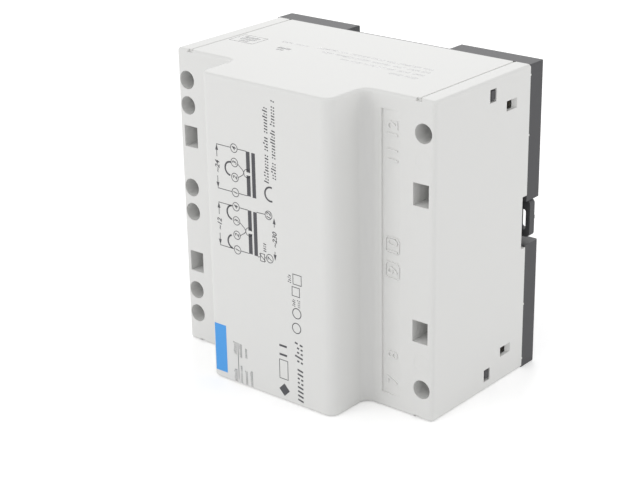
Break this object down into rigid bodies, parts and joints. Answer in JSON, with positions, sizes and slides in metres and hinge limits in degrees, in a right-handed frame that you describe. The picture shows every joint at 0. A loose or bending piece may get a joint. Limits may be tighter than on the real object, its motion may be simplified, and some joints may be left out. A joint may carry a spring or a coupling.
{
  "type": "doorbell transformer",
  "caption": "Modular transformer that clips to a 35 mm rail, with screw clamp terminals in its shoulders, a laminated core inside and a sliding rail latch.",
  "frame": {"origin": "middle of the side face that it stands on: halfway between the terminal ends and halfway from the front face to the back", "axes": "+X towards the mains terminals, +Y from the raised front to the rail, +Z along the rail, up as it stands in the picture"},
  "size_m": [0.09, 0.0645, 0.09],
  "materials": {
    "light_plastic": "fine satin texture, light grey",
    "dark_plastic": "satin, dark grey",
    "spring_steel": "drawn wire",
    "core_steel": "rolled electrical sheet, blue-grey",
    "bobbin_plastic": "natural white",
    "enamelled_copper": "enamelled copper wire",
    "insulating_tape": "smooth yellow film",
    "tinned_pins": "tinned",
    "thermistor_coating": "dipped lacquer",
    "carrier_plastic": "satin, black",
    "plated_steel": "zinc plated",
    "contact_brass": "bare brass",
    "low_voltage_sleeve": "smooth white sleeve",
    "mains_sleeve": "smooth brown sleeve",
    "grey_ink": "pad printed",
    "blue_ink": "pad printed"
  },
  "bodies": {
    "casing": {"housing": "light_plastic", "base": "dark_plastic", "latch_spring": "spring_steel", "core_e_sheets": "core_steel", "core_i_sheets": "core_steel", "bobbin": "bobbin_plastic", "primary_winding": "enamelled_copper", "secondary_winding_inner": "enamelled_copper", "secondary_winding_outer": "enamelled_copper", "primary_tape": "insulating_tape", "secondary_tape": "insulating_tape", "winding_pins": "tinned_pins", "thermistor": "thermistor_coating", "primary_terminal_carrier": "carrier_plastic", "secondary_terminal_carrier": "carrier_plastic", "diagram_print": "grey_ink", "colour_bar": "blue_ink", "secondary_lead_1": "low_voltage_sleeve", "secondary_lead_2": "low_voltage_sleeve", "secondary_lead_3": "low_voltage_sleeve", "secondary_lead_4": "low_voltage_sleeve", "primary_lead_7": "mains_sleeve", "primary_lead_12": "mains_sleeve", "terminal_6_bar": "contact_brass", "terminal_5_bar": "contact_brass", "terminal_4_bar": "contact_brass", "terminal_3_bar": "contact_brass", "terminal_2_bar": "contact_brass", "terminal_1_bar": "contact_brass", "terminal_12_bar": "contact_brass", "terminal_7_bar": "contact_brass"},
    "latch": {"rail_latch": "dark_plastic"},
    "screw_6": {"terminal_6_screw": "plated_steel"},
    "cage_6": {"terminal_6_cage": "plated_steel"},
    "screw_5": {"terminal_5_screw": "plated_steel"},
    "cage_5": {"terminal_5_cage": "plated_steel"},
    "screw_4": {"terminal_4_screw": "plated_steel"},
    "cage_4": {"terminal_4_cage": "plated_steel"},
    "screw_3": {"terminal_3_screw": "plated_steel"},
    "cage_3": {"terminal_3_cage": "plated_steel"},
    "screw_2": {"terminal_2_screw": "plated_steel"},
    "cage_2": {"terminal_2_cage": "plated_steel"},
    "screw_1": {"terminal_1_screw": "plated_steel"},
    "cage_1": {"terminal_1_cage": "plated_steel"},
    "screw_12": {"terminal_12_screw": "plated_steel"},
    "cage_12": {"terminal_12_cage": "plated_steel"},
    "screw_7": {"terminal_7_screw": "plated_steel"},
    "cage_7": {"terminal_7_cage": "plated_steel"}
  },
  "joints": [
    {"name": "latch_slide", "type": "slide", "parent": "casing", "child": "latch", "axis": [1, 0, 0], "range_m": [0, 0.0035], "stiffness_N_per_m": 2400, "springref_m": -0.001, "deforming": ["latch_spring"]},
    {"name": "terminal_6_turn", "type": "hinge", "parent": "casing", "child": "screw_6", "pos_m": [-0.04135, 0, 0.081], "axis": [0, 1, 0], "range_deg": [0, 2520]},
    {"name": "terminal_6_clamp", "type": "slide", "parent": "casing", "child": "cage_6", "axis": [0, -1, 0], "range_m": [0, 0.0035]},
    {"name": "terminal_5_turn", "type": "hinge", "parent": "casing", "child": "screw_5", "pos_m": [-0.04135, 0, 0.0735], "axis": [0, 1, 0], "range_deg": [0, 2520]},
    {"name": "terminal_5_clamp", "type": "slide", "parent": "casing", "child": "cage_5", "axis": [0, -1, 0], "range_m": [0, 0.0035]},
    {"name": "terminal_4_turn", "type": "hinge", "parent": "casing", "child": "screw_4", "pos_m": [-0.04135, 0, 0.04875], "axis": [0, 1, 0], "range_deg": [0, 2520]},
    {"name": "terminal_4_clamp", "type": "slide", "parent": "casing", "child": "cage_4", "axis": [0, -1, 0], "range_m": [0, 0.0035]},
    {"name": "terminal_3_turn", "type": "hinge", "parent": "casing", "child": "screw_3", "pos_m": [-0.04135, 0, 0.04125], "axis": [0, 1, 0], "range_deg": [0, 2520]},
    {"name": "terminal_3_clamp", "type": "slide", "parent": "casing", "child": "cage_3", "axis": [0, -1, 0], "range_m": [0, 0.0035]},
    {"name": "terminal_2_turn", "type": "hinge", "parent": "casing", "child": "screw_2", "pos_m": [-0.04135, 0, 0.0165], "axis": [0, 1, 0], "range_deg": [0, 2520]},
    {"name": "terminal_2_clamp", "type": "slide", "parent": "casing", "child": "cage_2", "axis": [0, -1, 0], "range_m": [0, 0.0035]},
    {"name": "terminal_1_turn", "type": "hinge", "parent": "casing", "child": "screw_1", "pos_m": [-0.04135, 0, 0.009], "axis": [0, 1, 0], "range_deg": [0, 2520]},
    {"name": "terminal_1_clamp", "type": "slide", "parent": "casing", "child": "cage_1", "axis": [0, -1, 0], "range_m": [0, 0.0035]},
    {"name": "terminal_12_turn", "type": "hinge", "parent": "casing", "child": "screw_12", "pos_m": [0.04135, 0, 0.081], "axis": [0, 1, 0], "range_deg": [0, 2520]},
    {"name": "terminal_12_clamp", "type": "slide", "parent": "casing", "child": "cage_12", "axis": [0, -1, 0], "range_m": [0, 0.0035]},
    {"name": "terminal_7_turn", "type": "hinge", "parent": "casing", "child": "screw_7", "pos_m": [0.04135, 0, 0.009], "axis": [0, 1, 0], "range_deg": [0, 2520]},
    {"name": "terminal_7_clamp", "type": "slide", "parent": "casing", "child": "cage_7", "axis": [0, -1, 0], "range_m": [0, 0.0035]}
  ],
  "couplings": [
    {"joint": "terminal_6_turn", "follows": "terminal_6_clamp", "rad_per_m": 12566},
    {"joint": "terminal_5_turn", "follows": "terminal_5_clamp", "rad_per_m": 12566},
    {"joint": "terminal_4_turn", "follows": "terminal_4_clamp", "rad_per_m": 12566},
    {"joint": "terminal_3_turn", "follows": "terminal_3_clamp", "rad_per_m": 12566},
    {"joint": "terminal_2_turn", "follows": "terminal_2_clamp", "rad_per_m": 12566},
    {"joint": "terminal_1_turn", "follows": "terminal_1_clamp", "rad_per_m": 12566},
    {"joint": "terminal_12_turn", "follows": "terminal_12_clamp", "rad_per_m": 12566},
    {"joint": "terminal_7_turn", "follows": "terminal_7_clamp", "rad_per_m": 12566}
  ]
}
